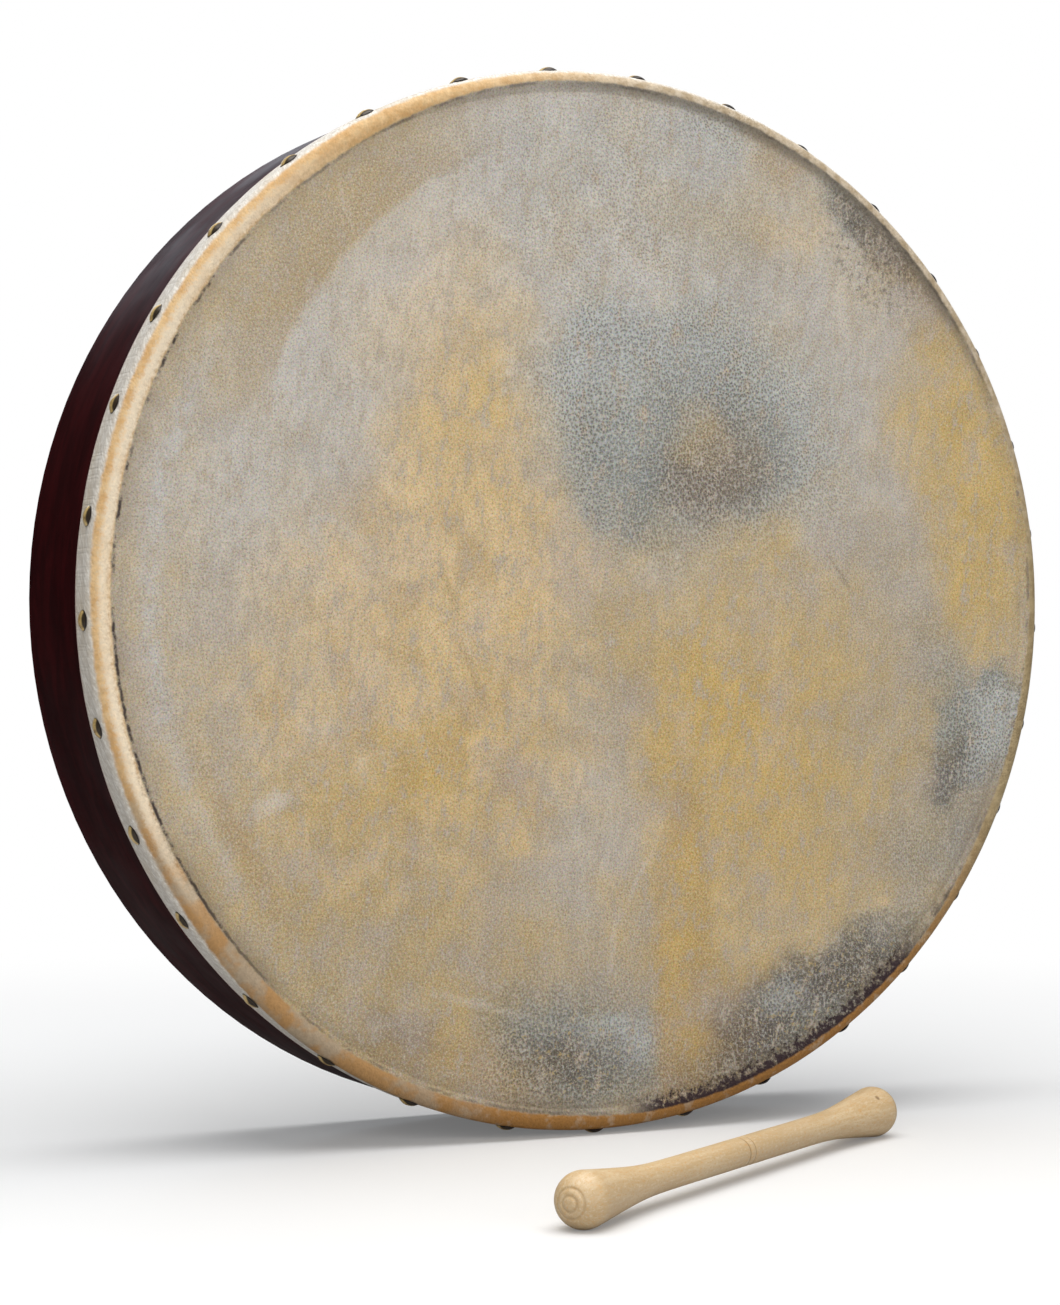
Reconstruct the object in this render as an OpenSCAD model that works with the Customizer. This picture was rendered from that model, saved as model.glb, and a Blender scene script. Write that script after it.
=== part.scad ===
// Frame drum of the bodhran kind: a shallow laminated hoop with one goatskin
// head, nailed on with dome-headed tacks, two lapped crossbars at the back for
// the hand, and a double-ended wooden beater.
//
// The drum stands on its rim with the head facing -Y, and +Z is up. The origin
// is on the floor, under the middle of the shell's depth. The beater lies on
// the same floor, in front of the drum.
//
// Depths are measured from the crown of the bearing edge, the foremost line of
// the drum, towards its open back. Tack angles run from +X towards +Z.

/* [Shell] */
// Outside diameter of the wooden shell
shell_d = 457.2; // [350:0.1:500]
// Depth from the crown of the skin to the back rim
drum_depth = 89; // [70:1:140]
// Thickness of one ply of the shell
ply_t = 3; // [3:0.5:4]
// Radius on the inner and outer corners of the back rim
rim_round = 1.5; // [0.5:0.5:2]

/* [Skin] */
// Thickness of the goatskin
skin_t = 0.9; // [0.6:0.1:1.4]
// How far the flat head lies behind the crown
head_drop = 0.9; // [0.6:0.1:1.2]
// Depth of the skin's cut edge on the shell
skirt_depth = 17.5; // [14:0.5:24]

/* [Tacks] */
// Number of tacks round the shell
tack_count = 33; // [16:1:48]
// Angle of the first tack
tack_start = 270; // [0:1:359]
// Depth of the row of tacks
tack_depth = 7.5; // [7:0.5:10]
// Diameter of a tack's head
tack_head_d = 8.8; // [6:0.2:10]
// Height of a tack's domed head
tack_head_h = 2.2; // [1:0.1:3]
// Diameter of a tack's shank
tack_shank_d = 1.6; // [1.2:0.1:2]
// Length of a tack under its head
tack_shank_l = 6.4; // [5:0.1:6.4]
// How far hand nailing strays from even spacing, in degrees
tack_wander = 0.4; // [0:0.1:1]

/* [Crossbars] */
// Width of a crossbar, as seen from the back
bar_w = 24; // [18:1:32]
// Thickness of a crossbar, front to back
bar_t = 15; // [10:1:20]
// Radius along the edges of a crossbar
bar_round = 4; // [1:0.5:4.5]
// How far the crossbars are set in from the back rim
bar_inset = 6; // [2:1:15]
// Length of square edge left beyond the bars' joint
square_reach = 8; // [2:1:20]

/* [Beater] */
// Overall length of the beater
beater_l = 270; // [190:1:300]
// Diameter of its two knobs
knob_d = 21.5; // [18:0.5:26]
// Diameter of its shaft
grip_d = 11.8; // [9:0.2:14]
// Length of the taper from a knob down to the shaft
taper_l = 41; // [20:1:50]
// Left end of the beater, across the front of the drum
beater_x = -112; // [-220:1:60]
// Left end of the beater, in front of the drum
beater_y = -240; // [-400:1:-235]
// Turn of the beater on the floor, from +X towards the drum
beater_turn = 33.4; // [0:0.1:35]

/* [Hidden] */

shell_r = shell_d / 2;
plies = 3;
wall_t = plies * ply_t;
edge_r = wall_t / 2;                      // the bearing edge is a full half round
edge_c = [shell_r - edge_r, skin_t + edge_r];
axis_h = shell_r + skin_t + tack_head_h;  // the lowest tack touches the floor
bar_depth = drum_depth - bar_inset - bar_t / 2;
fine = 180;                               // facets of a round part
small = 48;                               // facets of a small round
tiny = 24;                                // facets of a shank or a groove

// Colours
burgundy = [0.18, 0.06, 0.07];
hide = [0.70, 0.63, 0.50];
aged_brass = [0.55, 0.44, 0.22];
pale_wood = [0.86, 0.74, 0.58];
stained_wood = [0.30, 0.14, 0.10];

// Turns an upright solid of revolution so that its axis is the drum's axis,
// and its z = 0 plane is the crown of the bearing edge.
module on_drum_axis() {
    translate([0, -drum_depth / 2, axis_h]) rotate([-90, 0, 0]) children();
}

// Angle of tack i, with the small errors of nailing by eye.
function tack_angle(i) = tack_start + i * 360 / tack_count
    + (i == 0 ? 0 : tack_wander * sin(i * 137.5));

// Puts a radial piece, drawn along +X, at every tack.
module at_tacks() {
    for (i = [0 : tack_count - 1])
        rotate([0, 0, -tack_angle(i)]) translate([0, 0, tack_depth]) children();
}

// ---- shell ----

// Section of the whole wall: half round in front, small radii at the back.
module wall_section() {
    straight_t = drum_depth - edge_c[1] - rim_round;
    translate(edge_c) circle(r = edge_r, $fn = small);
    translate([shell_r - wall_t, edge_c[1]]) square([wall_t, straight_t]);
    translate([shell_r - wall_t + rim_round, edge_c[1]])
        square([wall_t - 2 * rim_round, straight_t + rim_round]);
    for (r = [shell_r - rim_round, shell_r - wall_t + rim_round])
        translate([r, drum_depth - rim_round]) circle(r = rim_round, $fn = small);
}

// One ply of the wall, counted from the outside.
module ply(number) {
    rotate_extrude($fn = fine) intersection() {
        wall_section();
        translate([shell_r - number * ply_t, 0]) square([ply_t, drum_depth]);
    }
}

module tack_bores() {
    at_tacks() rotate([0, 90, 0]) translate([0, 0, shell_r + skin_t - tack_shank_l])
        cylinder(d = tack_shank_d, h = tack_shank_l + 1, $fn = tiny);
}

module shell_outer_ply() {
    color(burgundy) on_drum_axis() difference() {
        ply(1);
        tack_bores();
    }
}

module shell_core_ply() {
    color(stained_wood) on_drum_axis() difference() {
        ply(2);
        tack_bores();
    }
}

// The inner ply is cut right through for the ends of the crossbars.
module shell_inner_ply() {
    color(burgundy) difference() {
        on_drum_axis() ply(3);
        bar_blank(0);
        bar_blank(90);
    }
}

// ---- skin ----

// Flat head, the fold over the bearing edge, and the skirt down the outside.
module skin_section() {
    outer_r = edge_r + skin_t;
    skin_meets = sqrt(pow(outer_r, 2) - pow(outer_r - head_drop, 2));
    wood_meets = sqrt(pow(edge_r, 2) - pow(edge_r - head_drop, 2));
    translate([0, head_drop]) square([edge_c[0] - (skin_meets + wood_meets) / 2, skin_t]);
    translate([shell_r, edge_c[1]]) square([skin_t, skirt_depth - edge_c[1]]);
    intersection() {
        translate(edge_c) difference() {
            circle(r = outer_r, $fn = 2 * small);
            circle(r = edge_r, $fn = 2 * small);
        }
        union() {
            translate([edge_c[0] - outer_r, 0]) square([2 * outer_r, head_drop + skin_t]);
            translate([edge_c[0], 0]) square([outer_r, edge_c[1]]);
        }
    }
}

module skin() {
    color(hide) on_drum_axis() difference() {
        rotate_extrude($fn = fine) skin_section();
        tack_bores();
    }
}

// ---- tacks ----

// One tack along +X: a domed head on the skin, and a pointed shank.
module tack() {
    point_l = 2;
    point_d = 0.3;
    dome_r = (pow(tack_head_d / 2, 2) + pow(tack_head_h, 2)) / (2 * tack_head_h);
    rotate([0, 90, 0]) translate([0, 0, shell_r + skin_t]) {
        rotate_extrude($fn = small) intersection() {
            translate([0, tack_head_h - dome_r]) circle(r = dome_r, $fn = 2 * small);
            square([tack_head_d, tack_head_h]);
        }
        translate([0, 0, point_l - tack_shank_l])
            cylinder(d = tack_shank_d, h = tack_shank_l - point_l, $fn = tiny);
        translate([0, 0, -tack_shank_l])
            cylinder(d1 = point_d, d2 = tack_shank_d, h = point_l, $fn = tiny);
    }
}

module skin_tacks() {
    color(aged_brass) on_drum_axis() at_tacks() tack();
}

// ---- crossbars ----

// Section of a bar, drawn across X and Y, with rounded long edges.
module bar_section() {
    for (w = [[bar_w, bar_t - 2 * bar_round], [bar_w - 2 * bar_round, bar_t]])
        square(w, center = true);
    for (x = [-1, 1], y = [-1, 1])
        translate([x * (bar_w / 2 - bar_round), y * (bar_t / 2 - bar_round)])
            circle(r = bar_round, $fn = small);
}

// A bar across the drum, upright at turn 0 and level at turn 90. Its ends are
// curved to bear on the core ply, through the inner ply, and its edges are
// left square round the joint.
module bar_blank(turn) {
    seat_r = shell_r - 2 * ply_t;
    intersection() {
        translate([0, bar_depth - drum_depth / 2, axis_h]) rotate([0, turn, 0]) {
            translate([0, 0, -shell_r]) linear_extrude(2 * shell_r) bar_section();
            cube([bar_w, bar_t, bar_w + 2 * square_reach], center = true);
        }
        on_drum_axis() cylinder(r = seat_r, h = drum_depth, $fn = fine);
    }
}

// Half of the bars' thickness at their crossing: side -1 is the front half.
module lap_cut(side) {
    translate([0, bar_depth - drum_depth / 2 + side * bar_t / 2, axis_h])
        cube([bar_w, bar_t, bar_w], center = true);
}

module crossbar_upright() {
    color(stained_wood) difference() {
        bar_blank(0);
        lap_cut(1);
    }
}

module crossbar_level() {
    color(stained_wood) difference() {
        bar_blank(90);
        lap_cut(-1);
    }
}

// ---- beater ----

// Half of the beater's outline, from its end at y = 0 to its middle: a ball,
// a straight taper that leaves it at a tangent, and the shaft.
module beater_half() {
    knob_r = knob_d / 2;
    grip_r = grip_d / 2;
    lean = asin((knob_r - grip_r) / taper_l);
    join = knob_r * [cos(lean), 1 + sin(lean)];
    intersection() {
        translate([0, knob_r]) circle(r = knob_r, $fn = 2 * small);
        square([knob_d, knob_d]);
    }
    polygon([
        [0, knob_r], join, [grip_r, join[1] + taper_l], [grip_r, beater_l / 2], [0, beater_l / 2]
    ]);
}

// Shallow turned marks: a band round the middle, and a ring on each knob's end.
module turned_marks() {
    groove_r = 0.6;
    band_w = 4.5;
    ring_r = 5.6;
    knob_r = knob_d / 2;
    for (y = [-band_w / 2, band_w / 2])
        translate([grip_d / 2 + groove_r / 2, beater_l / 2 + y]) circle(r = groove_r, $fn = tiny);
    ring_h = knob_r - sqrt(pow(knob_r, 2) - pow(ring_r, 2));
    for (y = [ring_h, beater_l - ring_h])
        translate([ring_r, y]) circle(r = groove_r / 2, $fn = tiny);
}

module beater() {
    color(pale_wood) translate([beater_x, beater_y, knob_d / 2]) rotate([90, 0, 90 + beater_turn])
        rotate_extrude($fn = 2 * small) difference() {
            union() {
                beater_half();
                translate([0, beater_l]) mirror([0, 1]) beater_half();
            }
            turned_marks();
        }
}

shell_outer_ply();
shell_core_ply();
shell_inner_ply();
skin();
skin_tacks();
crossbar_upright();
crossbar_level();
beater();
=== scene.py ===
"""Looks of the bodhran and its beater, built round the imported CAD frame."""

import math

import bmesh
import bpy
from mathutils import Matrix, Vector, noise


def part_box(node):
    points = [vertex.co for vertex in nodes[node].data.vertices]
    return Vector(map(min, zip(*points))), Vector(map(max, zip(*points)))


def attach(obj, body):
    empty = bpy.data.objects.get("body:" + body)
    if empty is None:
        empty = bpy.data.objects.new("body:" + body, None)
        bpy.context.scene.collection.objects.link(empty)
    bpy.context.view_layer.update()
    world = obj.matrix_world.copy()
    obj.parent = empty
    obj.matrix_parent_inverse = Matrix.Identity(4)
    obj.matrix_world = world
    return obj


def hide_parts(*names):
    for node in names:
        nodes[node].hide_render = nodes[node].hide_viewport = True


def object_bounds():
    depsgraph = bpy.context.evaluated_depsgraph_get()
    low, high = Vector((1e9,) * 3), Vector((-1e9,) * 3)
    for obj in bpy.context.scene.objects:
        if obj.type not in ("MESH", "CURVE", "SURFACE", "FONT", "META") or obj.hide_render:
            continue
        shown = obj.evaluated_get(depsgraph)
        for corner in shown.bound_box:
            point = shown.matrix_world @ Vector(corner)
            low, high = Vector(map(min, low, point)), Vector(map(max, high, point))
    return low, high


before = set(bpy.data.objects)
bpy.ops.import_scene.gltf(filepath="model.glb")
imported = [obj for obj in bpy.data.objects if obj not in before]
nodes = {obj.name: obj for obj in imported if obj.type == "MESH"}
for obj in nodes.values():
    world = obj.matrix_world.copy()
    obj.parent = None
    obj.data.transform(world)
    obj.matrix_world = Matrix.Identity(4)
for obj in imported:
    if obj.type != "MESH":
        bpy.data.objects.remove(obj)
cad_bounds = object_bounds()

MM = 0.001

# ---- sizes and places, read from the frame where it gives them -----------------------

shell_low, shell_high = (Vector(c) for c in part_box("shell_outer_ply"))
skin_low, skin_high = (Vector(c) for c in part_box("skin"))
beater_low, beater_high = (Vector(c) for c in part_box("beater"))

SHELL_R = (shell_high.x - shell_low.x) / 2
AXIS_Z = (shell_high.z + shell_low.z) / 2
CROWN_Y = skin_low.y
SKIN_T = (skin_high.x - skin_low.x) / 2 - SHELL_R
SKIRT_DEPTH = skin_high.y - skin_low.y
KNOB_R = (beater_high.z - beater_low.z) / 2
FLOOR_Z = cad_bounds[0][2]

# Sizes inside a node, which no box gives
WALL_T = 9 * MM
EDGE_R = WALL_T / 2
HEAD_DROP = 0.9 * MM
TACK_HEAD_R = 4.4 * MM
TACK_SHANK_R = 0.8 * MM
GRIP_R = 5.9 * MM
TAPER_L = 41 * MM

# The beater's turned marks: two rings on each end, and half the width of the middle band
END_RING_R = 5.6 * MM
END_GROOVE_R = 2.9 * MM
BAND_HALF_W = 2.3 * MM

AXIS = Vector((0, 0, AXIS_Z))


# ---- small helpers -------------------------------------------------------------------


def smooth(edge0, edge1, x):
    """0 before edge0, 1 after edge1, and a smooth curve between."""
    t = min(1.0, max(0.0, (x - edge0) / (edge1 - edge0)))
    return t * t * (3 - 2 * t)


def new_object(name, mesh):
    obj = bpy.data.objects.new(name, mesh)
    bpy.context.scene.collection.objects.link(obj)
    return obj


def mesh_from_rings(name, rings):
    """A closed skin over rings of as many points each. A ring of one point is a pole."""
    points, faces, starts = [], [], []
    for ring in rings:
        starts.append(len(points))
        points.extend(ring)
    for a, b in zip(range(len(rings) - 1), range(1, len(rings))):
        na, nb = len(rings[a]), len(rings[b])
        for i in range(max(na, nb)):
            j = (i + 1) % max(na, nb)
            quad = [starts[a] + i % na, starts[a] + j % na, starts[b] + j % nb, starts[b] + i % nb]
            faces.append(list(dict.fromkeys(quad)))
    mesh = bpy.data.meshes.new(name)
    mesh.from_pydata(points, [], faces)
    mesh.validate()
    for p in mesh.polygons:
        p.use_smooth = True
    return mesh


def rough(point, scale, seed):
    """Smooth noise, about -1 to 1, with features 1/scale metres across."""
    return noise.noise(Vector(point) * scale + Vector((seed, 3.1 * seed, 7.7 * seed)))


# ---- node graphs ---------------------------------------------------------------------


class Graph:
    """A material's node graph, built by calls that return output sockets."""

    def __init__(self, name):
        self.mat = bpy.data.materials.new(name)
        self.mat.use_nodes = True
        self.tree = self.mat.node_tree
        self.shader = next(n for n in self.tree.nodes if n.type == "BSDF_PRINCIPLED")
        self.coords = self.add("ShaderNodeTexCoord").outputs["Object"]

    def add(self, kind, inputs=None, **settings):
        n = self.tree.nodes.new(kind)
        for key, value in settings.items():
            setattr(n, key, value)
        for key, value in (inputs or {}).items():
            self.put(n.inputs[key], value)
        return n

    def put(self, socket, value):
        if isinstance(value, bpy.types.NodeSocket):
            self.tree.links.new(value, socket)
        elif socket.type == "RGBA" and len(value) == 3:
            socket.default_value = (*value, 1)
        else:
            socket.default_value = value

    def set(self, **inputs):
        """Sets or links the shader's own sockets: base_color= is Base Color."""
        for key, value in inputs.items():
            wanted = key.replace("_", " ").lower()
            self.put(next(s for s in self.shader.inputs if s.name.lower() == wanted), value)

    def math(self, op, a, b=0.0, clamp=False):
        return self.add("ShaderNodeMath", {0: a, 1: b}, operation=op, use_clamp=clamp).outputs[0]

    def map(self, value, low, high, to_low=0.0, to_high=1.0, kind="SMOOTHSTEP"):
        ins = {"Value": value, "From Min": low, "From Max": high, "To Min": to_low, "To Max": to_high}
        return self.add("ShaderNodeMapRange", ins, interpolation_type=kind).outputs["Result"]

    def moved(self, vector, at=(0, 0, 0), turn=(0, 0, 0), size=(1, 1, 1)):
        """Coordinates in which an ellipsoid at `at`, turned and sized so, is the unit ball."""
        ins = {"Vector": vector, "Location": at, "Rotation": turn, "Scale": size}
        return self.add("ShaderNodeMapping", ins, vector_type="TEXTURE").outputs["Vector"]

    def length(self, vector):
        return self.add("ShaderNodeVectorMath", {0: vector}, operation="LENGTH").outputs["Value"]

    def closeness(self, vector, at, size, turn=0.0):
        """1 in the middle of an ellipse, falling evenly to 0 at its edge and beyond."""
        inside = self.moved(vector, (*at, 0), (0, 0, math.radians(turn)), (*size, 1))
        return self.add("ShaderNodeTexGradient", {0: inside}, gradient_type="SPHERICAL").outputs["Fac"]

    def scaled(self, colour, factor):
        """The colour, lighter or darker by a factor."""
        return self.add("ShaderNodeHueSaturation", {"Color": colour, "Value": factor}).outputs[0]

    def centred(self, fac, reach):
        """Noise about zero, as wide as `reach` from end to end."""
        return self.math("MULTIPLY", self.math("SUBTRACT", fac, 0.5), reach)

    def noise(self, vector, scale, detail=2.0, grit=0.5, distortion=0.0, plane=False, color=False):
        ins = {"Vector": vector, "Scale": scale, "Detail": detail}
        ins.update({"Roughness": grit, "Distortion": distortion})
        n = self.add("ShaderNodeTexNoise", ins, noise_dimensions="2D" if plane else "3D")
        return n.outputs["Color" if color else "Fac"]

    def cells(self, vector, scale, plane=False):
        """Distance from the nearest of many scattered points."""
        ins = {"Vector": vector, "Scale": scale}
        dimensions = "2D" if plane else "3D"
        return self.add("ShaderNodeTexVoronoi", ins, voronoi_dimensions=dimensions).outputs["Distance"]

    def mix(self, fac, a, b, blend="MIX"):
        n = self.add("ShaderNodeMix", data_type="RGBA", blend_type=blend)
        self.put(n.inputs["Factor"], fac)
        for name, value in (("A", a), ("B", b)):
            self.put(next(s for s in n.inputs if s.name == name and s.type == "RGBA"), value)
        return next(s for s in n.outputs if s.type == "RGBA")

    def bump(self, height, distance, strength=1.0, normal=None):
        ins = {"Height": height, "Distance": distance, "Strength": strength}
        if normal is not None:
            ins["Normal"] = normal
        return self.add("ShaderNodeBump", ins).outputs["Normal"]

    def shifted(self, vector, scale, amount, detail=3.0, grit=0.5, plane=False):
        """The coordinates, wandering by up to `amount` each way."""
        elsewhere = self.moved(vector, (17.3, 9.1, 4.7))
        across = self.centred(self.noise(vector, scale, detail, grit, plane=plane), 2 * amount)
        up = self.centred(self.noise(elsewhere, scale, detail, grit, plane=plane), 2 * amount)
        far = self.add("ShaderNodeCombineXYZ", {"X": across, "Y": up}).outputs[0]
        return self.add("ShaderNodeVectorMath", {0: vector, 1: far}).outputs[0]


# ---- materials -----------------------------------------------------------------------


def tone(red, green, blue):
    """A colour given as it looks on a screen, from 0 to 255."""
    levels = (red / 255, green / 255, blue / 255)
    return tuple(c / 12.92 if c <= 0.04045 else ((c + 0.055) / 1.055) ** 2.4 for c in levels)


# Tones of the hide
HIDE = tone(182, 168, 143)
OCHRE = tone(190, 163, 106)
GOLD = tone(194, 163, 90)
AMBER = tone(168, 143, 103)
HONEY = tone(206, 181, 136)
CREAM = tone(206, 195, 178)
TAN = tone(176, 157, 118)
MOSS = tone(173, 154, 117)
GREY = tone(186, 183, 177)
STONE = tone(163, 154, 140)
ASH = tone(170, 174, 171)
SLATE = tone(125, 130, 126)
BROWN = tone(120, 102, 82)
SOOT = tone(84, 77, 70)

# Patches with a softness up to this keep a nearly straight edge
CRISP_EDGE = 0.2

# Rings on the head, in head radii: an old stretching mark and its middle, the bloom beside
# the rim, the crease's line of painted shade and dirt, the fold colour's inner edge and its painted crown
# highlight
GHOST_RING_R, GHOST_RING_AT = 0.757, (0.05, 0.13, 0)
BLOOM_R = 0.890
CREASE_LINE_R = 0.9690
FOLD_START_R = 0.970
CROWN_HIGHLIGHT_R = 0.9740

# Patches of the hide: tone, middle, half size, turn in degrees, strength, softness of the
# edge. Lengths are in head radii, to the right and up from the middle of the head.
PATCHES = [
    # wide fields, pale above and warm below
    (GREY, (-0.55, 0.26), (0.36, 0.36), 20, 0.80, 0.7),
    (CREAM, (-0.34, 0.60), (0.20, 0.15), 0, 0.70, 0.8),
    (GREY, (0.08, 0.82), (0.56, 0.26), -6, 0.80, 0.8),
    (CREAM, (0.04, 0.64), (0.16, 0.14), 40, 0.60, 0.8),
    (TAN, (0.26, 0.72), (0.16, 0.08), 0, 0.60, 0.8),
    (ASH, (0.10, 0.72), (0.30, 0.26), -10, 0.40, 0.8),
    (GREY, (0.03, 0.60), (0.13, 0.12), 0, 0.55, 0.8),
    (GREY, (0.50, 0.47), (0.22, 0.16), -32, 0.65, 0.8),
    (GREY, (0.61, 0.20), (0.09, 0.18), 8, 0.60, 0.8),
    (GREY, (0.13, 0.00), (0.09, 0.10), 0, 0.55, 0.8),
    (GREY, (0.30, -0.60), (0.10, 0.08), 0, 0.50, 0.8),
    (HONEY, (0.42, 0.73), (0.08, 0.04), 0, 0.60, 0.8),
    (ASH, (0.27, 0.91), (0.09, 0.04), -12, 0.70, 0.8),
    (AMBER, (0.39, 0.86), (0.06, 0.04), -20, 0.60, 0.8),
    (MOSS, (-0.62, 0.64), (0.10, 0.44), -42, 0.60, 0.5),
    (HONEY, (-0.24, 0.14), (0.16, 0.40), 6, 0.90, 0.6),
    (GOLD, (-0.27, 0.33), (0.09, 0.14), 6, 0.45, 0.8),
    (HONEY, (-0.38, -0.10), (0.26, 0.26), 25, 0.90, 0.7),
    (HONEY, (-0.32, 0.12), (0.12, 0.20), 10, 0.60, 0.8),
    (OCHRE, (-0.44, -0.40), (0.32, 0.15), 25, 0.80, 0.8),
    (GOLD, (-0.42, -0.33), (0.14, 0.10), 30, 0.50, 0.8),
    (MOSS, (-0.34, -0.70), (0.52, 0.24), -12, 0.85, 0.7),
    (OCHRE, (0.30, -0.25), (0.38, 0.26), -15, 0.95, 0.7),
    (GOLD, (0.30, -0.26), (0.20, 0.12), -35, 0.70, 0.8),
    (OCHRE, (0.34, -0.50), (0.22, 0.20), 20, 0.70, 0.7),
    (GOLD, (0.83, 0.22), (0.13, 0.34), 8, 0.80, 0.5),
    (STONE, (0.66, 0.02), (0.11, 0.22), 15, 0.60, 0.8),
    (TAN, (0.62, -0.35), (0.14, 0.28), 10, 0.70, 0.8),
    (MOSS, (0.03, -0.14), (0.09, 0.13), 0, 0.90, 0.8),
    # a greyish tongue below the middle
    (GREY, (-0.02, -0.40), (0.10, 0.26), 4, 0.60, 0.8),
    (STONE, (-0.02, -0.74), (0.12, 0.10), 0, 0.50, 0.8),
    (OCHRE, (0.02, -0.60), (0.05, 0.06), 0, 0.50, 0.8),
    # the slate stain, right of and above the middle
    (ASH, (0.20, 0.36), (0.33, 0.22), -8, 0.95, 0.40),
    (ASH, (0.03, 0.34), (0.12, 0.24), 8, 0.85, 0.16),
    (SLATE, (0.10, 0.20), (0.13, 0.10), -35, 0.68, 0.8),
    (SLATE, (0.15, 0.34), (0.20, 0.12), 25, 0.50, 0.9),
    (SLATE, (0.33, 0.29), (0.08, 0.10), 0, 0.75, 0.9),
    (BROWN, (0.25, 0.26), (0.10, 0.08), 0, 0.75, 0.9),
    (OCHRE, (0.20, 0.33), (0.05, 0.04), 0, 0.45, 0.9),
    (TAN, (0.30, 0.11), (0.14, 0.06), -10, 0.70, 0.8),
    # stains along the rim: right, bottom, lower right and upper right
    (STONE, (0.85, -0.42), (0.09, 0.16), -25, 0.80, 0.8),
    (ASH, (0.89, -0.25), (0.12, 0.12), 0, 0.95, 0.22),
    (SLATE, (0.80, -0.26), (0.04, 0.13), 6, 0.80, 0.7),
    (SOOT, (0.81, -0.34), (0.06, 0.05), -30, 0.75, 0.8),
    (SLATE, (0.92, -0.14), (0.08, 0.02), -5, 0.60, 0.8),
    (SLATE, (-0.06, -0.86), (0.18, 0.13), 0, 0.85, 0.5),
    (ASH, (0.03, -0.83), (0.09, 0.06), 0, 0.80, 0.4),
    (SOOT, (-0.06, -0.87), (0.10, 0.05), 0, 0.80, 0.8),
    (SLATE, (0.75, -0.47), (0.09, 0.12), -30, 0.40, 0.8),
    (SLATE, (0.76, -0.13), (0.06, 0.10), 0, 0.35, 0.8),
    (BROWN, (0.30, -0.79), (0.13, 0.07), 24, 0.80, 0.6),
    (SLATE, (0.47, -0.79), (0.26, 0.10), 30, 0.90, 0.4),
    (SOOT, (0.53, -0.72), (0.14, 0.06), 14, 0.90, 0.6),
    (SOOT, (0.32, -0.87), (0.18, 0.06), 24, 0.90, 0.7),
    (ASH, (0.41, -0.79), (0.06, 0.04), 30, 0.60, 0.8),
    (BROWN, (-0.42, -0.84), (0.10, 0.04), -28, 0.50, 0.8),
    (AMBER, (-0.24, -0.90), (0.14, 0.06), -16, 0.70, 0.8),
    (SLATE, (0.58, 0.77), (0.09, 0.04), -44, 0.80, 0.8),
    (SOOT, (0.64, 0.71), (0.12, 0.035), -47, 0.75, 0.8),
    (BROWN, (0.70, 0.62), (0.12, 0.05), -52, 0.50, 0.8),
    # amber hide with one straight edge, beside the greyish tongue
    (AMBER, (0.18, -0.72), (0.062, 0.38), 0, 0.80, 0.18),
    (GOLD, (0.20, -0.64), (0.08, 0.22), 0, 0.60, 0.7),
    (BROWN, (0.24, -0.87), (0.10, 0.05), 20, 0.50, 0.8),
]

# Scuffs: tone, strength, middle, half length, half width, turn in degrees
CHALK, PITCH = tone(214, 210, 204), tone(52, 40, 40)
SCUFFS = [
    (CHALK, 0.30, (0.085, -0.53), 0.075, 0.006, 62),
    (CHALK, 0.28, (0.030, -0.65), 0.070, 0.007, 80),
    (CHALK, 0.32, (-0.25, -0.755), 0.11, 0.010, -16),
    (CHALK, 0.22, (-0.52, 0.72), 0.06, 0.006, -72),
    (CHALK, 0.20, (-0.44, 0.26), 0.05, 0.010, -35),
    (CHALK, 0.25, (0.12, 0.58), 0.04, 0.012, 35),
    (BROWN, 0.45, (0.53, 0.06), 0.045, 0.006, -52),
    (PITCH, 0.90, (0.755, -0.61), 0.016, 0.011, 70),
    (PITCH, 0.90, (0.780, -0.585), 0.010, 0.008, 30),
    (HONEY, 0.90, (0.630, -0.590), 0.016, 0.014, 0),
    (BROWN, 0.25, (-0.30, 0.80), 0.05, 0.006, 35),
    (AMBER, 0.60, (-0.72, -0.44), 0.17, 0.024, -62),
    (CHALK, 0.22, (-0.78, -0.42), 0.16, 0.016, -62),
    (CREAM, 0.80, (-0.66, -0.37), 0.032, 0.020, 25),
    (AMBER, 0.50, (-0.27, -0.13), 0.09, 0.012, -62),
    (AMBER, 0.45, (-0.31, 0.02), 0.06, 0.012, -70),
    (CHALK, 0.30, (-0.47, 0.33), 0.05, 0.008, 65),
    (CHALK, 0.30, (0.09, 0.62), 0.06, 0.016, -50),
]


def head_plane(g):
    """Places on the head in head radii, flattened and whole, with the depth and the radius."""
    ins = {"Vector": g.coords, "Location": (0, CROWN_Y, AXIS_Z), "Scale": (SHELL_R, SHELL_R, SHELL_R)}
    v = g.add("ShaderNodeMapping", ins, vector_type="TEXTURE").outputs["Vector"]
    xyz = g.add("ShaderNodeSeparateXYZ", {0: v})
    flat = g.add("ShaderNodeCombineXYZ", {"X": xyz.outputs["X"], "Y": xyz.outputs["Z"]}).outputs[0]
    return flat, v, xyz.outputs["Y"], g.length(flat)


def facing(g, flat, degrees, inner, outer):
    """1 within `inner` degrees of a direction round the drum, and 0 beyond `outer`."""
    a = math.radians(degrees)
    unit = g.add("ShaderNodeVectorMath", {0: flat}, operation="NORMALIZE").outputs[0]
    ins = {0: unit, 1: (math.cos(a), math.sin(a), 0)}
    near = g.add("ShaderNodeVectorMath", ins, operation="DOT_PRODUCT").outputs["Value"]
    return g.map(near, math.cos(math.radians(outer)), math.cos(math.radians(inner)))


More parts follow.
